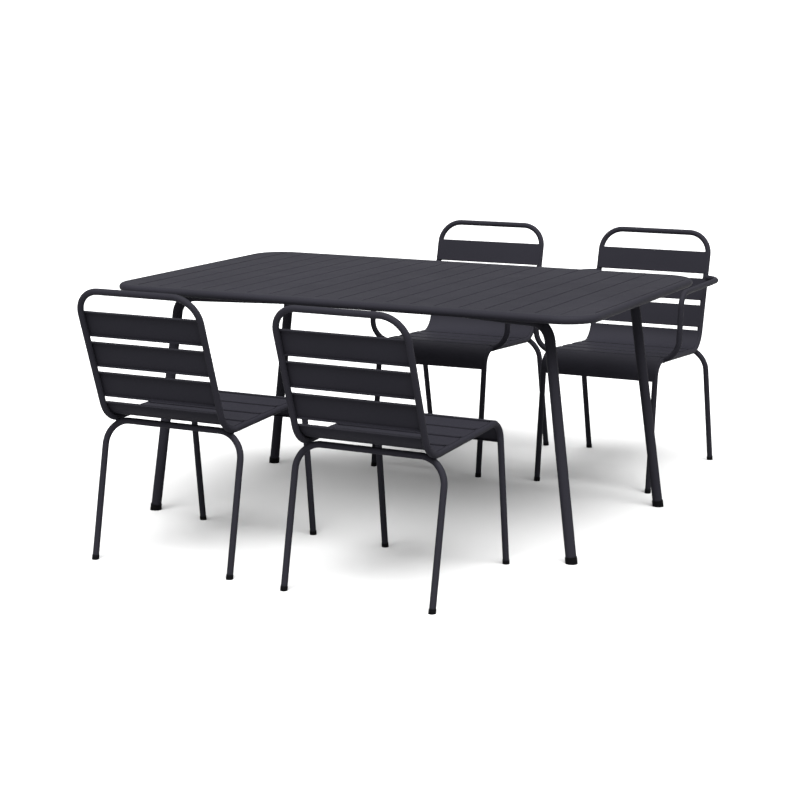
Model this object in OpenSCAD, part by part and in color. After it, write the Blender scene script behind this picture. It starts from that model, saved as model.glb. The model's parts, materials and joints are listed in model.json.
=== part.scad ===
// Patio dining set: a slatted rectangular table, two side chairs and two armchairs.
// Millimetres, +Z up. The origin is on the floor under the middle of the whole set's box.
// X runs along the table, the side chairs stand on the -Y side and the armchairs on +Y.

/* [Table] */
// Length of the tabletop
table_l = 1600; // [1560:10:1800]
// Width of the tabletop
table_w = 1010; // [960:10:1060]
// Height of the tabletop above the floor
table_h = 740; // [735:5:760]
// Outer diameter of the rim tube
rim_d = 24; // [20:1:28]
// Radius of the tabletop's corners at the outer edge
corner_r = 110; // [90:5:140]
// Number of slats in the tabletop
slat_count = 20; // [16:1:22]
// Width of the slit between two table slats
slit = 3; // [2:0.5:6]
// Flat land between the rim's outer edge and the end of the slits
land_w = 39; // [36:1:50]

/* [Table legs] */
// Outer diameter of a leg tube
leg_d = 32; // [28:1:38]
// Distance from the table's middle to a foot, along the table
foot_x = 716; // [690:2:720]
// Distance from the table's middle to a foot, across the table
foot_y = 380; // [360:2:390]
// Inward lean of a leg along the table, in degrees
leg_lean_x = 7.6; // [5:0.1:8]
// Inward lean of a leg across the table, in degrees
leg_lean_y = 1.9; // [0:0.1:3]
// Radius of the bend at the top of a leg
leg_bend_r = 60; // [50:5:80]
// Length of the arm that runs inward under the top
leg_arm_l = 320; // [280:10:360]
// Angle of that arm away from the table's length, in degrees
leg_arm_turn = 14; // [10:1:18]

/* [Chairs] */
// Outer diameter of the chair tubes
tube_d = 19; // [16:1:22]
// Overall height of a chair
chair_h = 816; // [790:2:840]
// Seat width between the centrelines of the frame tube
frame_w = 398; // [380:2:410]
// Distance between the centrelines of the rear legs
rear_w = 460; // [450:2:470]
// Height of the frame tube's centreline at the front corner of the seat
seat_front_z = 433.5; // [420:0.5:440]
// Slope of the seat down to the rear, in degrees
seat_slope = 3.2; // [1:0.1:4]
// Distance between the front and rear corners of the seat frame
seat_d = 444; // [436:2:460]
// Rake of the front legs, in degrees
front_rake = 7; // [4:0.5:9]
// Width of a seat or back slat
slat_w = 77; // [66:1:78]
// Distance from one seat slat to the next
seat_pitch = 93; // [90:1:96]
// Rise from one back slat to the next
back_pitch = 91.5; // [90:0.5:96]
// Height of the top slat's upper edge
back_slat_z = 742; // [735:1:750]

/* [Armrests] */
// Distance from the chair's middle to an armrest's centreline
arm_x = 256; // [250:1:262]
// Height of an armrest's centreline
arm_z = 655; // [640:1:665]

/* [Hidden] */
$fn = 48;

coat = "#3a3943";    // dark anthracite powder coat
plastic = "#1c1c1f"; // black foot caps and plugs
zinc = "#8b8d90";    // bolts

// Table, derived
rim_r = rim_d / 2;
rim_z = table_h - rim_r;
rim_wall = 1.5;
sheet = 1.5;                               // sheet steel of all slats
land_t = 2;                                // thickness of the land inside the rim
end_land = 18.5;                           // land beyond the last slit on the short sides
inner_x = table_l / 2 - end_land;          // slats' field, half its length
inner_y = table_w / 2 - land_w;            // slats' field, half its width
inner_r = corner_r - land_w;               // corner of the slats' field
pitch = (2 * inner_x + slit) / slat_count; // from one table slat to the next
table_slat_w = pitch - slit;
fold = rim_r;                              // depth of a table slat's folded edge
bearer_w = 90;
bearer_h = rim_r;
bearer_wall = 2;
bearer_y = 320;
bearer_z = table_h - fold - bearer_h;      // underside of the bearers
bracket = [140, 60, 4];
bolt_r = 4;
bolt_hole_r = 4.2;
bolt_at = [50, 22];                        // bolts from a bracket's middle, along and across
leg_wall = 2;
leg_z = bearer_z - bracket.z - leg_d / 2;  // centreline of a leg's arm
leg_top = [foot_x - leg_z * tan(leg_lean_x), foot_y - leg_z * tan(leg_lean_y), leg_z];
leg_arm_dir = [-cos(leg_arm_turn), -sin(leg_arm_turn), 0];
bracket_at = leg_top + leg_arm_dir * (leg_top.y - bearer_y) / sin(leg_arm_turn);
leg_foot = [2, 20, 4];                     // cap wall, height and floor
chair_foot = [1, 13, 4];

// Chairs, derived
tube_r = tube_d / 2;
tube_wall = 1.5;
half_w = frame_w / 2;
front_r = 55;                              // bend radii of the frame's centreline
rear_r = 80;
top_r = 75;
hoop_r = [76, 82];                         // bend radius of the rear-leg hoop, by kind
face_r = tube_r + sheet;                   // from a tube's centreline to a slat's face
slat_fold = 10;                            // depth of a slat's folded edge
rail_dir = [0, cos(seat_slope), sin(seat_slope)];
rail_up = [0, -sin(seat_slope), cos(seat_slope)];
back_turn = function (lean) 90 - lean + seat_slope;
front_turn = 90 - front_rake + seat_slope; // bend angle between the front leg and the seat rail
drop_z = 369;                              // lower edge of the front slat
front_gap = 51;                            // from the front corner to the first gap's front edge

// One entry a chair: [kind, x, y, turn about Z]. The point is between its rear feet.
side = 0;
arm = 1;
near_left = [side, -318, -957, -0.7];
near_right = [side, 334, -994, -1.5];
far_left = [arm, -189, 1068, 181.5];
far_right = [arm, 427, 1111, 180];
// By kind: distance from the rear feet to the front feet, rear-leg rake and back lean
foot_d = [533, 576];
rear_rake = [11.5, 13.2];
back_lean = [18.7, 14.4];

front_corner = function (k) [0, foot_d[k] - seat_front_z * tan(front_rake), seat_front_z];
rear_corner = function (k) front_corner(k) - rail_dir * seat_d;
back_dir = function (k) [0, -sin(back_lean[k]), cos(back_lean[k])];
back_at = function (k, z) rear_corner(k)
    + back_dir(k) * (z - rear_corner(k).z) / back_dir(k).z;
bar_z = chair_h - tube_r;

// The set is moved along Y so that its box is centred on the origin.
bar_reach = tube_r + (half_w - top_r) * abs(sin(near_right[3]));
near_edge = near_right.z + back_at(side, bar_z).y * cos(near_right[3]) - bar_reach;
far_edge = far_right.z - back_at(arm, bar_z).y + tube_r;
shift_y = -(near_edge + far_edge) / 2;

// ---- general shapes ----

hair = 0.03;  // step between a bend and the straight runs beside it
reach = 0.5;  // length over which a straight run covers the end of a bend
weld_gap = 0.1; // root gap of a coped tube end
slip = 0.1;   // clearance between a tube and its foot cap

function unit(v) = v / norm(v);
function bend_angle(a, b, c) = acos(unit(b - a) * unit(c - b));
function bend_cut(p, r, i) = r[i - 1] * tan(bend_angle(p[i - 1], p[i], p[i + 1]) / 2);
function bend_normal(p, i) = unit(cross(p[i] - p[i - 1], p[i + 1] - p[i]));

// Places children so that their X, Y and Z axes lie along x, y and z, at point p
module axes(x, y, z, p) {
    multmatrix([[x.x, y.x, z.x, p.x], [x.y, y.y, z.y, p.y], [x.z, y.z, z.z, p.z], [0, 0, 0, 1]])
        children();
}

module straight(a, b, n, r) {
    d = unit(b - a);
    axes(n, cross(d, n), d, a) cylinder(h = norm(b - a), r = r);
}

module ring(r, wall) {
    difference() {
        circle(r);
        circle(r - wall);
    }
}

// A tube along the points p, bent at each inner point with the centreline radii in bends.
// A bend is a hair thinner than the straight runs, which reach over its ends.
module tube(p, bends, r, wall) {
    last = len(p) - 1;
    for (i = [0 : last - 1]) {
        d = unit(p[i + 1] - p[i]);
        n = bend_normal(p, max(i, 1));
        from = i == 0 ? 0 : bend_cut(p, bends, i) - reach;
        to = i == last - 1 ? 0 : bend_cut(p, bends, i + 1) - reach;
        axes(n, cross(d, n), d, p[i] + d * from)
            linear_extrude(norm(p[i + 1] - p[i]) - from - to) ring(r, wall);
    }
    for (i = [1 : last - 1]) {
        d = unit(p[i] - p[i - 1]);
        n = bend_normal(p, i);
        w = cross(n, d);
        axes(-w, d, n, p[i] - d * bend_cut(p, bends, i) + w * bends[i - 1])
            rotate_extrude(angle = bend_angle(p[i - 1], p[i], p[i + 1]), $fn = 96)
                translate([bends[i - 1], 0]) ring(r - hair, wall - 2 * hair);
    }
}

// A foot cap on a tube of radius r that rises from point p along d. size is its wall,
// its height and the floor under the tube's end. The floor stands flat on z = 0.
module foot_cap(p, d, r, size) {
    difference() {
        axes(unit(cross([0, 1, 0], d)), unit(cross(d, cross([0, 1, 0], d))), d, p)
            rotate_extrude() difference() {
                translate([0, -r]) square([r + size[0], size[1] + r]);
                translate([0, size[2]]) square([r + slip, size[1]]);
                translate([r + size[0], size[1]]) circle(size[0] / 2);
            }
        translate(p + [-2 * r, -2 * r, -4 * r]) cube([4 * r, 4 * r, 4 * r]);
    }
}

// A tube's end inside its foot cap
function in_cap(p, q, size) = p + unit(q - p) * size[2];

module round_rect(w, h, r) {
    square([w - 2 * r, h], center = true);
    square([w, h - 2 * r], center = true);
    for (x = [-1, 1], y = [-1, 1]) translate([x * (w / 2 - r), y * (h / 2 - r)]) circle(r);
}

// Section of a sheet slat: a face w wide with its top at y = t, and edges folded down
module channel_2d(w, depth, t) {
    bend = 1.5 * t;
    difference() {
        translate([0, t - depth]) round_rect(w, 2 * depth, bend);
        translate([0, t - depth]) round_rect(w - 2 * t, 2 * depth - 2 * t, bend - t);
        translate([-w, t - 2 * depth - 1]) square([2 * w, depth + 1]);
    }
}

// ---- table ----

module quadrant(sx, sy) {
    translate([0, shift_y, 0]) mirror([sx < 0 ? 1 : 0, 0, 0]) mirror([0, sy < 0 ? 1 : 0, 0])
        children();
}

module field_2d(inset) {
    round_rect(2 * (inner_x - inset), 2 * (inner_y - inset), inner_r - inset);
}

module rim_bar(r) {
    x = table_l / 2 - rim_r;
    y = table_w / 2 - rim_r;
    c = corner_r - rim_r;
    for (sy = [-1, 1]) translate([c - x, sy * y, rim_z]) rotate([0, 90, 0])
        cylinder(h = 2 * (x - c), r = r);
    for (sx = [-1, 1]) translate([sx * x, y - c, rim_z]) rotate([90, 0, 0])
        cylinder(h = 2 * (y - c), r = r);
    for (sx = [-1, 1], sy = [-1, 1])
        translate([sx * (x - c), sy * (y - c), rim_z])
            rotate([0, 0, sx > 0 ? (sy > 0 ? 0 : 270) : (sy > 0 ? 90 : 180)])
                rotate_extrude(angle = 90, $fn = 96) translate([c, 0]) circle(r);
}

module table_rim() {
    color(coat) translate([0, shift_y, 0]) difference() {
        union() {
            rim_bar(rim_r);
            translate([0, 0, table_h - land_t]) linear_extrude(land_t) difference() {
                round_rect(table_l - rim_d, table_w - rim_d, corner_r - rim_r);
                field_2d(0);
            }
        }
        rim_bar(rim_r - rim_wall);
    }
}

function slat_x(i) = -inner_x + pitch * (i + 0.5) - slit / 2;

module table_slats() {
    color(coat) for (i = [1 : slat_count - 2])
        translate([slat_x(i), shift_y + inner_y, table_h - sheet]) rotate([90, 0, 0])
            linear_extrude(2 * inner_y) channel_2d(table_slat_w, fold, sheet);
}

// The outermost slats follow the rim's rounded corners and have no outer fold.
module table_end_slats() {
    straight_y = inner_y - inner_r;
    edge_x = inner_x - slit;
    fold_x = -slat_x(0) - table_slat_w / 2;
    color(coat) for (s = [-1, 1]) quadrant(s, 1) {
        translate([0, 0, table_h - sheet]) linear_extrude(sheet) difference() {
            intersection() {
                field_2d(0);
                translate([fold_x, -inner_y]) square([pitch, 2 * inner_y]);
            }
            translate([edge_x, -straight_y]) square([pitch, 2 * straight_y]);
        }
        translate([fold_x, -inner_y, table_h - fold]) cube([sheet, 2 * inner_y, fold - sheet / 2]);
    }
}

module at_bracket_bolts() {
    for (x = [-1, 1], y = [-1, 1])
        translate([bracket_at.x, bracket_at.y, 0]) rotate([0, 0, leg_arm_turn])
            translate([x * bolt_at.x, y * bolt_at.y, 0]) children();
}

module table_bearers() {
    l = table_l - 2 * rim_d;
    color(coat) for (s = [-1, 1]) difference() {
        translate([-l / 2, shift_y + s * bearer_y - bearer_w / 2, bearer_z])
            cube([l, bearer_w, bearer_h]);
        translate([-l / 2 - 1, shift_y + s * bearer_y - bearer_w / 2, bearer_z])
            translate([0, bearer_wall, bearer_wall])
                cube([l + 2, bearer_w - 2 * bearer_wall, bearer_h - 2 * bearer_wall]);
        for (sx = [-1, 1]) quadrant(sx, s) at_bracket_bolts()
            translate([0, 0, bearer_z - 1]) cylinder(h = bearer_wall + 2, r = bolt_hole_r);
    }
}

module table_leg_brackets() {
    color(coat) for (sx = [-1, 1], sy = [-1, 1]) quadrant(sx, sy) difference() {
        translate([bracket_at.x, bracket_at.y, bearer_z - bracket.z]) rotate([0, 0, leg_arm_turn])
            translate([-bracket.x / 2, -bracket.y / 2, 0]) cube(bracket);
        at_bracket_bolts() translate([0, 0, bearer_z - bracket.z - 1])
            cylinder(h = bracket.z + 2, r = bolt_hole_r);
    }
}

module table_leg_bolts() {
    head = 5.3;
    across_flats = 13;
    color(zinc) for (sx = [-1, 1], sy = [-1, 1]) quadrant(sx, sy) at_bracket_bolts() {
        translate([0, 0, bearer_z - bracket.z - head])
            cylinder(h = head, d = across_flats / cos(30), $fn = 6);
        translate([0, 0, bearer_z - bracket.z]) cylinder(h = bracket.z + 8, r = bolt_r);
    }
}

leg_foot_at = [foot_x, foot_y, 0];
leg_end = leg_top + leg_arm_dir * leg_arm_l;

module table_leg(sx, sy) {
    color(coat) quadrant(sx, sy)
        tube([in_cap(leg_foot_at, leg_top, leg_foot), leg_top, leg_end],
            [leg_bend_r], leg_d / 2, leg_wall);
}

// Plastic plugs in the inner ends of the legs' arms
module table_leg_plugs() {
    flange = 2;
    color(plastic) for (sx = [-1, 1], sy = [-1, 1]) quadrant(sx, sy) {
        straight(leg_end, leg_end + leg_arm_dir * flange, [0, 0, 1], leg_d / 2);
        straight(leg_end - leg_arm_dir * 15, leg_end, [0, 0, 1], leg_d / 2 - leg_wall - 0.1);
    }
}

module table_feet() {
    color(plastic) for (sx = [-1, 1], sy = [-1, 1]) quadrant(sx, sy)
        foot_cap(leg_foot_at, unit(leg_top - leg_foot_at), leg_d / 2, leg_foot);
}

// ---- chairs ----

module chair(c) {
    translate([c.y, c.z + shift_y, 0]) rotate([0, 0, c[3]]) children();
}

// Puts a side-view outline on the chair's middle plane: its x runs forward along Y and
// its y runs up, both turned by a, and it is extruded w wide, centred.
module side_view(p, a, w) {
    translate(p) rotate([a, 0, 0]) rotate([90, 0, 90]) linear_extrude(w, center = true) children();
}

function front_foot(k, s) = [s * half_w, foot_d[k], 0];
function frame_point(p, s) = [s * half_w, p.y, p.z];

function frame_side(k, s) = [
    in_cap(front_foot(k, s), frame_point(front_corner(k), s), chair_foot),
    frame_point(front_corner(k), s),
    frame_point(rear_corner(k), s),
    frame_point(back_at(k, bar_z), s)
];

module chair_frame(c) {
    k = c[0];
    left = frame_side(k, -1);
    right = frame_side(k, 1);
    path = concat(left, [for (i = [3 : -1 : 0]) right[i]]);
    color(coat) chair(c)
        tube(path, [front_r, rear_r, top_r, top_r, rear_r, front_r], tube_r, tube_wall);
}

// Centre of the bend between the seat and the back
rear_centre = function (k) rear_corner(k)
    + rail_dir * rear_r * tan(back_turn(back_lean[k]) / 2) + rail_up * rear_r;
front_centre = function (k) front_corner(k)
    - rail_dir * front_r * tan(front_turn / 2) - rail_up * front_r;

// Least distance between the centrelines of the rear-leg hoop, with its top at height h,
// and of the frame's rear bend
hoop_gap = function (k, h)
    let (p = rear_centre(k), a = rear_rake[k], r = hoop_r[k])
    min([for (t = [0 : 1 : 90])
        let (x = rear_w / 2 - r + r * sin(t), l = h / cos(a) - r * (1 - cos(t)))
        norm([x - half_w, norm([l * sin(a) - p.y, l * cos(a) - p.z]) - rear_r])]);

// Height between lo and hi at which the hoop just touches the frame from below
function hoop_top(k, lo, hi, steps = 24) = steps == 0 ? lo
    : let (mid = (lo + hi) / 2) hoop_gap(k, mid) > tube_d
    ? hoop_top(k, mid, hi, steps - 1) : hoop_top(k, lo, mid, steps - 1);

hoop_z = [for (k = [side, arm]) hoop_top(k, rear_corner(k).z - 80, rear_corner(k).z + 20)];

function hoop_corner(k, s) = [s * rear_w / 2, hoop_z[k] * tan(rear_rake[k]), hoop_z[k]];
function rear_foot(s) = [s * rear_w / 2, 0, 0];

module chair_rear_legs(c) {
    k = c[0];
    color(coat) chair(c) tube([
        in_cap(rear_foot(-1), hoop_corner(k, -1), chair_foot), hoop_corner(k, -1),
        hoop_corner(k, 1), in_cap(rear_foot(1), hoop_corner(k, 1), chair_foot)
    ], [hoop_r[k], hoop_r[k]], tube_r, tube_wall);
}

module chair_feet(c) {
    k = c[0];
    color(plastic) chair(c) for (s = [-1, 1]) {
        foot_cap(rear_foot(s), unit(hoop_corner(k, s) - rear_foot(s)), tube_r, chair_foot);
        foot_cap(front_foot(k, s), unit(frame_point(front_corner(k), s) - front_foot(k, s)),
            tube_r, chair_foot);
    }
}

inside_w = frame_w - tube_d - 3; // a slat's folded part, clear of the tubes

// A flat slat on the tubes: p is a point of their centreline under the slat's middle
module flat_slat(p, a) {
    lift = [0, -sin(a), cos(a)] * tube_r;
    side_view(p + lift, a, inside_w) channel_2d(slat_w, slat_fold, sheet);
    side_view(p + lift, a, frame_w) translate([-slat_w / 2 + sheet, 0])
        square([slat_w - 2 * sheet, sheet]);
}

// Back slats count from the top, from 0
module chair_back_slat(c, i) {
    k = c[0];
    mid_z = back_slat_z - i * back_pitch - slat_w / 2 * cos(back_lean[k]);
    color(coat) chair(c) flat_slat(back_at(k, mid_z), back_lean[k] - 90);
}

// Seat slats count from the front, from 0
module chair_seat_slat(c, i) {
    gap = seat_pitch - slat_w;
    at = front_corner(c[0]) - rail_dir * (front_gap + gap + slat_w / 2 + i * seat_pitch);
    color(coat) chair(c) flat_slat(at, seat_slope);
}

module wedge_2d(a, b) {
    far = 4 * rear_r;
    mid = (a + b) / 2;
    polygon([[0, 0], far * [cos(a), sin(a)], far * [cos(mid), sin(mid)], far * [cos(b), sin(b)]]);
}

// A band of sheet bent round the origin from angle a to angle b, between two radii
module band_2d(inner, a, b) {
    intersection() {
        difference() {
            circle(inner + sheet, $fn = 128);
            circle(inner, $fn = 128);
        }
        wedge_2d(a, b);
    }
}

// A flat stretch of sheet l long, from the end of such a band: y runs out of the sheet's face
module flat_2d(l) {
    translate([-reach, hair]) square([l + reach, sheet - 2 * hair]);
}

// Slat that lines the bend between the seat and the back
module chair_curved_slat(c) {
    k = c[0];
    inner = rear_r - face_r;
    front_edge = front_gap + 3 * seat_pitch + seat_pitch - slat_w;
    flat = seat_d - rear_r * tan(back_turn(back_lean[k]) / 2) - front_edge;
    a = -90 + seat_slope;
    b = -180 + back_lean[k];
    color(coat) chair(c) {
        side_view(rear_centre(k), 0, frame_w) {
            band_2d(inner, b, a);
            rotate(seat_slope) translate([0, -inner - sheet]) flat_2d(flat);
        }
        side_view(rear_centre(k), 0, inside_w) {
            rotate(seat_slope) translate([flat - sheet, -inner - slat_fold - hair])
                square([sheet, slat_fold]);
            rotate(back_lean[k]) translate([-inner - slat_fold - hair, -sheet / 2])
                square([slat_fold, sheet]);
        }
    }
}

// Slat that bends down over the front of the seat
module chair_front_slat(c) {
    k = c[0];
    inner = front_r + tube_r;
    top = 90 + seat_slope;
    drop = (front_centre(k).z - drop_z) / cos(front_rake) + inner * tan(front_rake);
    color(coat) chair(c) {
        side_view(front_centre(k), 0, frame_w) {
            band_2d(inner, front_rake, top);
            rotate(front_rake - 90) translate([0, inner]) flat_2d(drop);
        }
        side_view(front_centre(k), 0, inside_w) {
            rotate(front_rake) translate([inner + sheet - slat_fold - hair, -drop])
                square([slat_fold, sheet]);
            rotate(seat_slope) translate([-sheet / 2, inner + sheet - slat_fold - hair])
                square([sheet, slat_fold]);
        }
    }
}

// Armrest, welded to the back upright and to the seat rail. s is its side.
module chair_arm(c, s) {
    k = c[0];
    up = back_at(k, arm_z);
    rail_hit = front_corner(k) - rail_dir * 60;
    low = [arm_x, rail_hit.y + 2, rail_hit.z + 22];
    high = [arm_x, low.y - 0.08 * (arm_z - low.z), arm_z];
    color(coat) chair(c) mirror([s < 0 ? 1 : 0, 0, 0]) difference() {
        tube([[half_w, up.y, arm_z], [arm_x, up.y + 24, arm_z], high, low,
            [half_w, rail_hit.y, rail_hit.z]], [80, 50, 72], tube_r, tube_wall);
        straight(frame_point(back_at(k, arm_z - 100), 1), frame_point(back_at(k, arm_z + 100), 1),
            [1, 0, 0], tube_r + weld_gap);
        straight(frame_point(rear_corner(k), 1), frame_point(front_corner(k), 1),
            [1, 0, 0], tube_r + weld_gap);
    }
}

table_rim();
table_slats();
table_end_slats();
table_bearers();
table_leg_brackets();
table_leg(-1, -1);  // table_leg_near_left
table_leg(1, -1);  // table_leg_near_right
table_leg(-1, 1);  // table_leg_far_left
table_leg(1, 1);  // table_leg_far_right
table_leg_bolts();
table_leg_plugs();
table_feet();
chair_frame(near_left);  // side_chair_left_frame
chair_rear_legs(near_left);  // side_chair_left_rear_legs
chair_back_slat(near_left, 0);  // side_chair_left_back_slat_top
chair_back_slat(near_left, 1);  // side_chair_left_back_slat_middle
chair_back_slat(near_left, 2);  // side_chair_left_back_slat_bottom
chair_curved_slat(near_left);  // side_chair_left_curved_slat
chair_seat_slat(near_left, 2);  // side_chair_left_seat_slat_rear
chair_seat_slat(near_left, 1);  // side_chair_left_seat_slat_middle
chair_seat_slat(near_left, 0);  // side_chair_left_seat_slat_front
chair_front_slat(near_left);  // side_chair_left_front_slat
chair_feet(near_left);  // side_chair_left_feet
chair_frame(near_right);  // side_chair_right_frame
chair_rear_legs(near_right);  // side_chair_right_rear_legs
chair_back_slat(near_right, 0);  // side_chair_right_back_slat_top
chair_back_slat(near_right, 1);  // side_chair_right_back_slat_middle
chair_back_slat(near_right, 2);  // side_chair_right_back_slat_bottom
chair_curved_slat(near_right);  // side_chair_right_curved_slat
chair_seat_slat(near_right, 2);  // side_chair_right_seat_slat_rear
chair_seat_slat(near_right, 1);  // side_chair_right_seat_slat_middle
chair_seat_slat(near_right, 0);  // side_chair_right_seat_slat_front
chair_front_slat(near_right);  // side_chair_right_front_slat
chair_feet(near_right);  // side_chair_right_feet
chair_frame(far_left);  // armchair_left_frame
chair_rear_legs(far_left);  // armchair_left_rear_legs
chair_back_slat(far_left, 0);  // armchair_left_back_slat_top
chair_back_slat(far_left, 1);  // armchair_left_back_slat_middle
chair_back_slat(far_left, 2);  // armchair_left_back_slat_bottom
chair_curved_slat(far_left);  // armchair_left_curved_slat
chair_seat_slat(far_left, 2);  // armchair_left_seat_slat_rear
chair_seat_slat(far_left, 1);  // armchair_left_seat_slat_middle
chair_seat_slat(far_left, 0);  // armchair_left_seat_slat_front
chair_front_slat(far_left);  // armchair_left_front_slat
chair_arm(far_left, -1);  // armchair_left_arm_left
chair_arm(far_left, 1);  // armchair_left_arm_right
chair_feet(far_left);  // armchair_left_feet
chair_frame(far_right);  // armchair_right_frame
chair_rear_legs(far_right);  // armchair_right_rear_legs
chair_back_slat(far_right, 0);  // armchair_right_back_slat_top
chair_back_slat(far_right, 1);  // armchair_right_back_slat_middle
chair_back_slat(far_right, 2);  // armchair_right_back_slat_bottom
chair_curved_slat(far_right);  // armchair_right_curved_slat
chair_seat_slat(far_right, 2);  // armchair_right_seat_slat_rear
chair_seat_slat(far_right, 1);  // armchair_right_seat_slat_middle
chair_seat_slat(far_right, 0);  // armchair_right_seat_slat_front
chair_front_slat(far_right);  // armchair_right_front_slat
chair_arm(far_right, -1);  // armchair_right_arm_left
chair_arm(far_right, 1);  // armchair_right_arm_right
chair_feet(far_right);  // armchair_right_feet
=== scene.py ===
"""Looks of the patio dining set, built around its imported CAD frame. Metres, +Z up."""

import json
import math

import bpy
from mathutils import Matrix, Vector


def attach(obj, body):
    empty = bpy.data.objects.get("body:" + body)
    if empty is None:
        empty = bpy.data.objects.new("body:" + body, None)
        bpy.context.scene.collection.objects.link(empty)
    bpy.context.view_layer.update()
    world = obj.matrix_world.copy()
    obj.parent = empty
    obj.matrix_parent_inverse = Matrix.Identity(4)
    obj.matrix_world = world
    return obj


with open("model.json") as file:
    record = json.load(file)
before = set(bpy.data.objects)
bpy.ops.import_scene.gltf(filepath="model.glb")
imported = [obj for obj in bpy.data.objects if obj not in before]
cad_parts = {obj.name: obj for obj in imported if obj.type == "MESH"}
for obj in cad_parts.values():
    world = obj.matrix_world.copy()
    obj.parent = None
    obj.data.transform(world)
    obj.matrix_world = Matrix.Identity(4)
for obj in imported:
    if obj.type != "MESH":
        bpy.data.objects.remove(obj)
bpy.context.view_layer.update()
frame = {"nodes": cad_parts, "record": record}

# The camera stands behind the side chairs, beyond the table's right end, and looks down a little.
# Metres, radians and pixels.
CAMERA_AT = (2.731, -5.574, 1.564)
CAMERA_PITCH = 0.193
CAMERA_YAW = 0.461
FOCAL_PX = 1975.7
FRAME_PX = 800
SENSOR_MM = 36.0

# Linear base colours
COAT = (0.0104, 0.0101, 0.0131)
PLASTIC = (0.0016, 0.0016, 0.0019)
ZINC = (0.42, 0.43, 0.44)
FLOOR = (0.40, 0.40, 0.40)

# Roughness of the powder coat and specular levels
TABLE_ROUGH, CHAIR_ROUGH = 0.56, 0.54
COAT_SPECULAR, PLASTIC_SPECULAR, FLOOR_SPECULAR = 0.018, 0.03, 0.1

# Texture scales (features to the metre) of the powder coat, and its rounded edges and relief (m)
PATCHES, CLOUDS, WEAR, PEEL, GRAIN = 2.3, 7.0, 46.0, 420.0, 1900.0
EDGE_RADIUS, COAT_RELIEF = 0.0008, 0.00018

# The key lamp's direction, strength and width (degrees), and the world's strength and its grey
# levels by height above the horizon
KEY_TOWARDS, KEY_STRENGTH, KEY_WIDTH = (0.25, -0.40, 0.87), 11.0, 60.0
WORLD_STRENGTH = 2.0
WORLD_STOPS = ((0.0, 0.6), (0.09, 0.6), (0.15, 0.22), (0.30, 0.10), (0.50, 0.45), (0.70, 0.8),
               (1.0, 1.0))
FLOOR_HALF = 150.0


class Nodes:
    """Short calls for building one material's node tree."""

    def __init__(self, name):
        self.material = bpy.data.materials.new(name)
        self.material.use_nodes = True
        self.tree = self.material.node_tree
        self.tree.nodes.clear()
        self.out = self.add("ShaderNodeOutputMaterial")
        self.shader = self.add("ShaderNodeBsdfPrincipled")
        self.link(self.shader.outputs["BSDF"], self.out.inputs["Surface"])
        self.place = self.add("ShaderNodeTexCoord").outputs["Object"]

    def add(self, kind, **values):
        node = self.tree.nodes.new(kind)
        for key, value in values.items():
            setattr(node, key, value)
        return node

    def link(self, a, b):
        self.tree.links.new(a, b)

    def noise(self, scale, detail=2.0, roughness=0.5, stretch=None):
        node = self.add("ShaderNodeTexNoise")
        node.inputs["Scale"].default_value = scale
        node.inputs["Detail"].default_value = detail
        node.inputs["Roughness"].default_value = roughness
        place = self.place
        if stretch:
            mapping = self.add("ShaderNodeMapping")
            mapping.inputs["Scale"].default_value = stretch
            self.link(place, mapping.inputs["Vector"])
            place = mapping.outputs["Vector"]
        self.link(place, node.inputs["Vector"])
        return node.outputs["Fac"]

    def cells(self, scale):
        node = self.add("ShaderNodeTexVoronoi", feature="F1")
        node.inputs["Scale"].default_value = scale
        self.link(self.place, node.inputs["Vector"])
        return node.outputs["Distance"]

    def remap(self, value, lo, hi, to_lo=0.0, to_hi=1.0):
        node = self.add("ShaderNodeMapRange")
        node.inputs["From Min"].default_value = lo
        node.inputs["From Max"].default_value = hi
        node.inputs["To Min"].default_value = to_lo
        node.inputs["To Max"].default_value = to_hi
        self.link(value, node.inputs["Value"])
        return node.outputs["Result"]

    def math(self, operation, a, b):
        node = self.add("ShaderNodeMath", operation=operation)
        for socket, value in zip(node.inputs, (a, b)):
            if isinstance(value, (int, float)):
                socket.default_value = value
            else:
                self.link(value, socket)
        return node.outputs[0]

    def mix(self, factor, a, b):
        node = self.add("ShaderNodeMix", data_type="RGBA")
        self.link(factor, node.inputs["Factor"])
        colour_a, colour_b, colour_out = node.inputs[6], node.inputs[7], node.outputs[2]
        for socket, value in ((colour_a, a), (colour_b, b)):
            if isinstance(value, tuple):
                socket.default_value = (*value, 1.0)
            else:
                self.link(value, socket)
        return colour_out

    def bump(self, height, distance, strength=1.0, normal=None):
        node = self.add("ShaderNodeBump")
        node.inputs["Distance"].default_value = distance
        node.inputs["Strength"].default_value = strength
        self.link(height, node.inputs["Height"])
        if normal is not None:
            self.link(normal, node.inputs["Normal"])
        return node.outputs["Normal"]

    def edges(self, radius):
        """A normal that rounds sharp edges off, and a value of 1 along them and 0 elsewhere."""
        bevel = self.add("ShaderNodeBevel", samples=4)
        bevel.inputs["Radius"].default_value = radius
        normal = self.add("ShaderNodeNewGeometry").outputs["Normal"]
        dot = self.add("ShaderNodeVectorMath", operation="DOT_PRODUCT")
        self.link(bevel.outputs["Normal"], dot.inputs[0])
        self.link(normal, dot.inputs[1])
        return bevel.outputs["Normal"], self.remap(dot.outputs["Value"], 0.995, 0.90)

    def finish(self, colour, roughness, normal, specular=0.5, metallic=0.0):
        for name, value in (("Base Color", colour), ("Roughness", roughness), ("Normal", normal)):
            if isinstance(value, (int, float)):
                self.shader.inputs[name].default_value = value
            else:
                self.link(value, self.shader.inputs[name])
        self.shader.inputs["Specular IOR Level"].default_value = specular
        self.shader.inputs["Metallic"].default_value = metallic
        return self.material


def scaled(colour, factor):
    return tuple(c * factor for c in colour)


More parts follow.
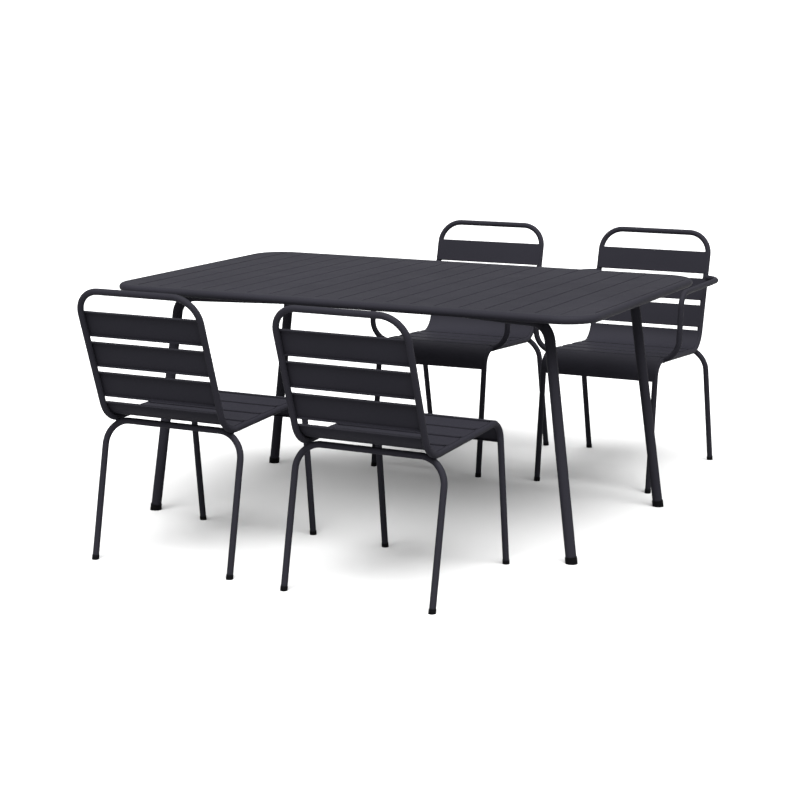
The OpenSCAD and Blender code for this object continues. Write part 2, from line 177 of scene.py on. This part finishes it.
def powder_coat(name, colour, rough):
    """Fine-textured polyester powder coat: orange peel, a fine grain with light specks, and worn
    edges.
    """
    n = Nodes(name)
    patches = n.remap(n.noise(PATCHES, 3.0), 0.35, 0.65)
    grain = n.noise(GRAIN, 2.0, 0.6)
    peel = n.noise(PEEL, 1.5)
    rounded, edge = n.edges(EDGE_RADIUS)
    base = n.mix(patches, scaled(colour, 0.94), scaled(colour, 1.06))
    speck = n.remap(grain, 0.58, 0.72)
    base = n.mix(n.math("MULTIPLY", speck, 0.35), base, scaled(colour, 1.9))
    worn = n.math("MULTIPLY", edge, n.remap(n.noise(WEAR, 4.0, 0.6), 0.42, 0.66))
    base = n.mix(n.math("MULTIPLY", worn, 0.35), base, scaled(colour, 2.2))
    roughness = n.math("ADD", n.remap(peel, 0.3, 0.7, rough - 0.04, rough + 0.05),
                       n.remap(n.noise(CLOUDS, 4.0), 0.3, 0.7, -0.03, 0.04))
    height = n.math("ADD", n.math("MULTIPLY", peel, 0.6), n.math("MULTIPLY", grain, 0.4))
    normal = n.bump(height, COAT_RELIEF, 0.5, rounded)
    return n.finish(base, roughness, normal, specular=COAT_SPECULAR)


def moulded_plastic(name, colour):
    """Black moulded polyethylene with a fine spark-eroded texture and faint scuffs."""
    n = Nodes(name)
    texture = n.cells(1500.0)
    scuff = n.remap(n.noise(160.0, 5.0, 0.7, (1.0, 1.0, 3.0)), 0.55, 0.75)
    base = n.mix(n.math("MULTIPLY", scuff, 0.5), colour, scaled(colour, 3.2))
    roughness = n.remap(n.noise(60.0, 3.0), 0.3, 0.7, 0.52, 0.66)
    return n.finish(base, roughness, n.bump(texture, 0.00015, 0.5), specular=PLASTIC_SPECULAR)


def zinc_plate(name, colour):
    """Bright zinc plating with a faint grain."""
    n = Nodes(name)
    grain = n.noise(900.0, 3.0, 0.6)
    base = n.mix(n.remap(n.noise(90.0, 3.0), 0.3, 0.7), scaled(colour, 0.82), scaled(colour, 1.1))
    return n.finish(base, n.remap(grain, 0.3, 0.7, 0.26, 0.42), n.bump(grain, 0.00008, 0.4),
                    metallic=1.0)


def floor_paint(name, colour):
    """Matt paint, so nearly even that it reads as plain."""
    n = Nodes(name)
    base = n.mix(n.noise(3.0, 3.0), scaled(colour, 0.985), scaled(colour, 1.015))
    return n.finish(base, 0.9, n.bump(n.noise(300.0, 2.0), 0.0002, 0.2),
                    specular=FLOOR_SPECULAR)


MATERIALS = {
    "powder_coat_table": powder_coat("coat_table", COAT, TABLE_ROUGH),
    "powder_coat_chair": powder_coat("coat_chair", COAT, CHAIR_ROUGH),
    "black_plastic": moulded_plastic("black_plastic", PLASTIC),
    "zinc_steel": zinc_plate("zinc_plate", ZINC),
}
for part in frame["record"]["subparts"]:
    node = frame["nodes"][part["node"]]
    node.data.materials.clear()
    node.data.materials.append(MATERIALS[part["material_slot"]])


# ---- weld beads ----

# Each chair's kind, place and turn, and the figures that its welds follow, the same as in the
# CAD source (millimetres and degrees). Pairs are for the side chairs and the armchairs.
SIDE, ARM = 0, 1
CHAIRS = {
    "side_chair_left": (SIDE, -318.0, -957.0, -0.7),
    "side_chair_right": (SIDE, 334.0, -994.0, -1.5),
    "armchair_left": (ARM, -189.0, 1068.0, 181.5),
    "armchair_right": (ARM, 427.0, 1111.0, 180.0),
}
SHIFT_Y = -19.139
FOOT_D = (533.0, 576.0)
REAR_RAKE = (11.5, 13.2)
BACK_LEAN = (18.7, 14.4)
HOOP_Z = (404.912, 418.017)
HOOP_R = (76.0, 82.0)
TUBE_R, SHEET, FOLD = 9.5, 1.5, 10.0
HALF_W, REAR_W = 199.0, 460.0
SEAT_Z, SEAT_D, SLOPE, RAKE = 433.5, 444.0, 3.2, 7.0
FRONT_R, REAR_R = 55.0, 80.0
SLAT_W, SEAT_PITCH, FRONT_GAP = 77.0, 93.0, 51.0
BACK_Z, BACK_PITCH = 742.0, 91.5
ARM_X, ARM_Z = 256.0, 655.0
ARM_FOOT_D, ARM_TOP_RISE, ARM_FOOT_RISE = 60.0, 24.0, (2.0, 22.0)

# Radii of the beads and of the ring that one makes at the hoop, how far they stand off the tube,
# their points' spacing and their ripple
SLAT_BEAD, ARM_BEAD, HOOP_BEAD, HOOP_RING = 1.15, 1.5, 2.2, 4.6
STAND_OFF, STEP, RIPPLE, TAPER = 0.5, 1.5, 0.13, 0.45
BEAD_SIDES, COPE_POINTS, RING_POINTS = 8, 40, 20
# How far a bead stays from a flat slat's edges (mm) and from the ends of a bent slat (degrees)
END_GAP, END_TURN = 5.0, 4.0


def turned(angle):
    """The direction along Y turned up by angle, and the one square to it."""
    c, s = math.cos(math.radians(angle)), math.sin(math.radians(angle))
    return Vector((0.0, c, s)), Vector((0.0, -s, c))


class Beads:
    """One mesh of rippled weld beads and of the pieces that close the slats' folds."""

    def __init__(self):
        self.points, self.faces, self.flat = [], [], set()

    def run(self, path, radius, closed=False):
        """A bead along path, about one ripple each 3 mm. An open bead tapers at its ends."""
        sides, count, first = BEAD_SIDES, len(path), len(self.points)
        across = None
        for i, at in enumerate(path):
            if closed:
                along = path[(i + 1) % count] - path[i - 1]
            else:
                along = path[min(i + 1, count - 1)] - path[max(i - 1, 0)]
            along = along.normalized()
            across = along.orthogonal() if across is None else across
            across = (across - along * across.dot(along)).normalized()
            other = along.cross(across)
            size = radius * (1.0 + RIPPLE * math.cos(math.pi * i))
            if not closed and i in (0, count - 1):
                size *= TAPER
            for j in range(sides):
                turn = 2.0 * math.pi * j / sides
                self.points.append(at + (across * math.cos(turn) + other * math.sin(turn)) * size)
        for i in range(count if closed else count - 1):
            a, b = first + i * sides, first + (i + 1) % count * sides
            for j in range(sides):
                k = (j + 1) % sides
                self.faces.append((a + j, a + k, b + k, b + j))
        if not closed:
            last = first + (count - 1) * sides
            self.faces.append(tuple(first + j for j in reversed(range(sides))))
            self.faces.append(tuple(last + j for j in range(sides)))

    def fold_end(self, crown, along, up, side):
        """Closes a slat's folded edge against the tube. crown is the tube's top line where the
        fold's middle meets it, along runs with the tube and up is the slat's normal."""
        inner = HALF_W - TUBE_R - 2.0
        bottom = FOLD - SHEET
        edge = [(inner, 0.0), (HALF_W - 0.5, 0.0)]
        edge += [(HALF_W - math.sqrt(TUBE_R ** 2 - (TUBE_R - d) ** 2) + 0.3, d)
                 for d in (0.4, 1.2, 2.4, 4.0, 6.0, bottom)]
        edge += [(inner, bottom)]
        first, count = len(self.points), len(edge)
        for shift in (-SHEET / 2, SHEET / 2):
            for x, depth in edge:
                self.points.append(crown + along * shift - up * depth
                                   + Vector((side * (x - HALF_W), 0.0, 0.0)))
        ring = list(range(first, first + count))
        other = [i + count for i in ring]
        self.faces.append(tuple(ring))
        self.faces.append(tuple(reversed(other)))
        for i in range(count):
            j = (i + 1) % count
            self.faces.append((ring[j], ring[i], other[i], other[j]))
        self.flat.update(range(len(self.faces) - count - 2, len(self.faces)))

    def line(self, a, b, radius):
        count = max(3, int((b - a).length / STEP))
        self.run([a.lerp(b, i / count) for i in range(count + 1)], radius)

    def piece(self, name, slot, body, place):
        mesh = bpy.data.meshes.new(name)
        mesh.from_pydata([tuple(place(p) * 0.001) for p in self.points], [], self.faces)
        smooth = [i not in self.flat for i in range(len(self.faces))]
        mesh.polygons.foreach_set("use_smooth", smooth)
        mesh.materials.append(MATERIALS[slot])
        mesh.update()
        obj = bpy.data.objects.new(name, mesh)
        bpy.context.scene.collection.objects.link(obj)
        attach(obj, body)


def arc(centre, radius, start, end, x):
    """Points round a bend in a chair's side plane, about one STEP apart."""
    count = max(3, int(abs(math.radians(end - start)) * radius / STEP))
    turns = [math.radians(start + (end - start) * i / count) for i in range(count + 1)]
    return [Vector((x, centre.y + radius * math.cos(t), centre.z + radius * math.sin(t)))
            for t in turns]


def cope(at, along, through):
    """The line where a tube that starts at `at` and runs along `along` meets its crossing tube."""
    e1 = along.orthogonal().normalized()
    e2 = along.cross(e1)
    square = along - through * along.dot(through)
    line = []
    for i in range(COPE_POINTS):
        turn = 2.0 * math.pi * i / COPE_POINTS
        rim = (e1 * math.cos(turn) + e2 * math.sin(turn)) * TUBE_R
        flat = rim - through * rim.dot(through)
        a, b = square.dot(square), flat.dot(square)
        c = flat.dot(flat) - (TUBE_R + 0.4) ** 2
        line.append(at + rim + along * ((-b + math.sqrt(max(b * b - a * c, 0.0))) / a))
    return line


def chair_welds(name, kind, x, y, turn):
    """One chair's welds and closing pieces, as one piece that rides with the chair."""
    rail, rail_up = turned(SLOPE)
    front = Vector((0.0, FOOT_D[kind] - SEAT_Z * math.tan(math.radians(RAKE)), SEAT_Z))
    rear = front - rail * SEAT_D
    post, face = turned(BACK_LEAN[kind] - 90.0)
    post = -post

    def back_at(z):
        return rear + post * ((z - rear.z) / post.z)

    back_turn = 90.0 - BACK_LEAN[kind] + SLOPE
    front_turn = 90.0 - RAKE + SLOPE
    rear_centre = (rear + rail * REAR_R * math.tan(math.radians(back_turn / 2))
                   + rail_up * REAR_R)
    front_centre = (front - rail * FRONT_R * math.tan(math.radians(front_turn / 2))
                    - rail_up * FRONT_R)
    beads = Beads()
    half = SLAT_W / 2 - END_GAP
    for side in (-1.0, 1.0):
        x_end = side * (HALF_W + STAND_OFF)
        out = Vector((x_end, 0.0, 0.0))
        # flat slats on the rails and the uprights
        for i in range(3):
            mid = (front - rail * (FRONT_GAP + SEAT_PITCH - SLAT_W / 2 + i * SEAT_PITCH)
                   + rail_up * (TUBE_R + STAND_OFF) + out)
            beads.line(mid - rail * half, mid + rail * half, SLAT_BEAD)
            for end in (-1.0, 1.0):
                crown = mid - rail_up * STAND_OFF + rail * end * (SLAT_W - SHEET) / 2
                crown.x = side * HALF_W
                beads.fold_end(crown, rail, rail_up, side)
            z = BACK_Z - i * BACK_PITCH - SLAT_W / 2 * math.cos(math.radians(BACK_LEAN[kind]))
            mid = back_at(z) + face * (TUBE_R + STAND_OFF) + out
            beads.line(mid - post * half, mid + post * half, SLAT_BEAD)
            for end in (-1.0, 1.0):
                crown = mid - face * STAND_OFF + post * end * (SLAT_W - SHEET) / 2
                crown.x = side * HALF_W
                beads.fold_end(crown, post, face, side)
        # slats bent round the frame's bends
        beads.run(arc(rear_centre, REAR_R - TUBE_R - STAND_OFF,
                      BACK_LEAN[kind] - 180.0 + END_TURN, SLOPE - 90.0 - END_TURN, x_end),
                  SLAT_BEAD)
        beads.run(arc(front_centre, FRONT_R + TUBE_R + STAND_OFF,
                      RAKE + END_TURN, SLOPE + 90.0 - END_TURN, x_end), SLAT_BEAD)
        # rear-leg hoop under the frame's rear bend: the closest points of the two bends
        rake = math.radians(REAR_RAKE[kind])
        best = None
        for i in range(901):
            t = math.radians(i / 10)
            across = REAR_W / 2 - HOOP_R[kind] * (1.0 - math.sin(t))
            up = HOOP_Z[kind] / math.cos(rake) - HOOP_R[kind] * (1.0 - math.cos(t))
            hoop = Vector((side * across, up * math.sin(rake), up * math.cos(rake)))
            flat = Vector((0.0, hoop.y, hoop.z)) - rear_centre
            bend = rear_centre + flat.normalized() * REAR_R + Vector((side * HALF_W, 0.0, 0.0))
            if best is None or (bend - hoop).length < best[0]:
                best = (bend - hoop).length, hoop, bend
        hoop, bend = best[1:]
        normal = (bend - hoop).normalized()
        e1 = normal.orthogonal().normalized()
        e2 = normal.cross(e1)
        touch = hoop.lerp(bend, 0.5)
        beads.run([touch + (e1 * math.cos(a) + e2 * math.sin(a)) * HOOP_RING
                   for a in (2.0 * math.pi * i / RING_POINTS for i in range(RING_POINTS))],
                  HOOP_BEAD, closed=True)
        # armrests
        if kind == ARM:
            top = back_at(ARM_Z)
            top.x = side * HALF_W
            to_top = Vector((side * (ARM_X - HALF_W), ARM_TOP_RISE, 0.0)).normalized()
            beads.run(cope(top, to_top, post), ARM_BEAD, closed=True)
            low = front - rail * ARM_FOOT_D
            low.x = side * HALF_W
            to_low = Vector((side * (ARM_X - HALF_W), *ARM_FOOT_RISE)).normalized()
            beads.run(cope(low, to_low, rail), ARM_BEAD, closed=True)
    angle = math.radians(turn)
    c, s = math.cos(angle), math.sin(angle)

    def place(p):
        return Vector((x + p.x * c - p.y * s, y + SHIFT_Y + p.x * s + p.y * c, p.z))

    beads.piece(name + "_welds", "powder_coat_chair", name, place)


for chair_name, layout in CHAIRS.items():
    chair_welds(chair_name, *layout)


# ---- stage ----

def soft_sun(towards, strength, spread):
    """A lamp as wide as a large soft box, in the direction towards it."""
    lamp = bpy.data.lights.new("key", "SUN")
    lamp.energy = strength
    lamp.angle = math.radians(spread)
    obj = bpy.data.objects.new("key", lamp)
    obj.rotation_euler = Vector(towards).to_track_quat("Z", "Y").to_euler()
    bpy.context.scene.collection.objects.link(obj)


def make_floor():
    half = FLOOR_HALF
    mesh = bpy.data.meshes.new("floor")
    mesh.from_pydata([(-half, -half, 0), (half, -half, 0), (half, half, 0), (-half, half, 0)],
                     [], [(0, 1, 2, 3)])
    obj = bpy.data.objects.new("floor", mesh)
    bpy.context.scene.collection.objects.link(obj)
    mesh.materials.append(floor_paint("floor_paint", FLOOR))


def make_world():
    """A bright overhead dome over a dim wall, pale again at the horizon."""
    world = bpy.data.worlds.new("studio")
    world.use_nodes = True
    tree = world.node_tree
    tree.nodes.clear()
    out = tree.nodes.new("ShaderNodeOutputWorld")
    back = tree.nodes.new("ShaderNodeBackground")
    ramp = tree.nodes.new("ShaderNodeValToRGB")
    split = tree.nodes.new("ShaderNodeSeparateXYZ")
    place = tree.nodes.new("ShaderNodeTexCoord")
    tree.links.new(place.outputs["Generated"], split.inputs[0])
    tree.links.new(split.outputs["Z"], ramp.inputs["Fac"])
    tree.links.new(ramp.outputs["Color"], back.inputs["Color"])
    tree.links.new(back.outputs[0], out.inputs["Surface"])
    while len(ramp.color_ramp.elements) < len(WORLD_STOPS):
        ramp.color_ramp.elements.new(0.5)
    for element, (at, level) in zip(ramp.color_ramp.elements, WORLD_STOPS):
        element.position = at
        element.color = (level, level, level, 1.0)
    back.inputs["Strength"].default_value = WORLD_STRENGTH
    bpy.context.scene.world = world


make_floor()
make_world()
soft_sun(KEY_TOWARDS, KEY_STRENGTH, KEY_WIDTH)

camera = bpy.data.cameras.new("camera")
camera.sensor_width = SENSOR_MM
camera.lens = FOCAL_PX / FRAME_PX * SENSOR_MM
camera.clip_end = 500.0
eye = bpy.data.objects.new("camera", camera)
eye.location = CAMERA_AT
eye.rotation_euler = (math.pi / 2 - CAMERA_PITCH, 0.0, CAMERA_YAW)
bpy.context.scene.collection.objects.link(eye)
bpy.context.scene.camera = eye
bpy.context.scene.view_settings.view_transform = "Standard"

bpy.context.view_layer.update()
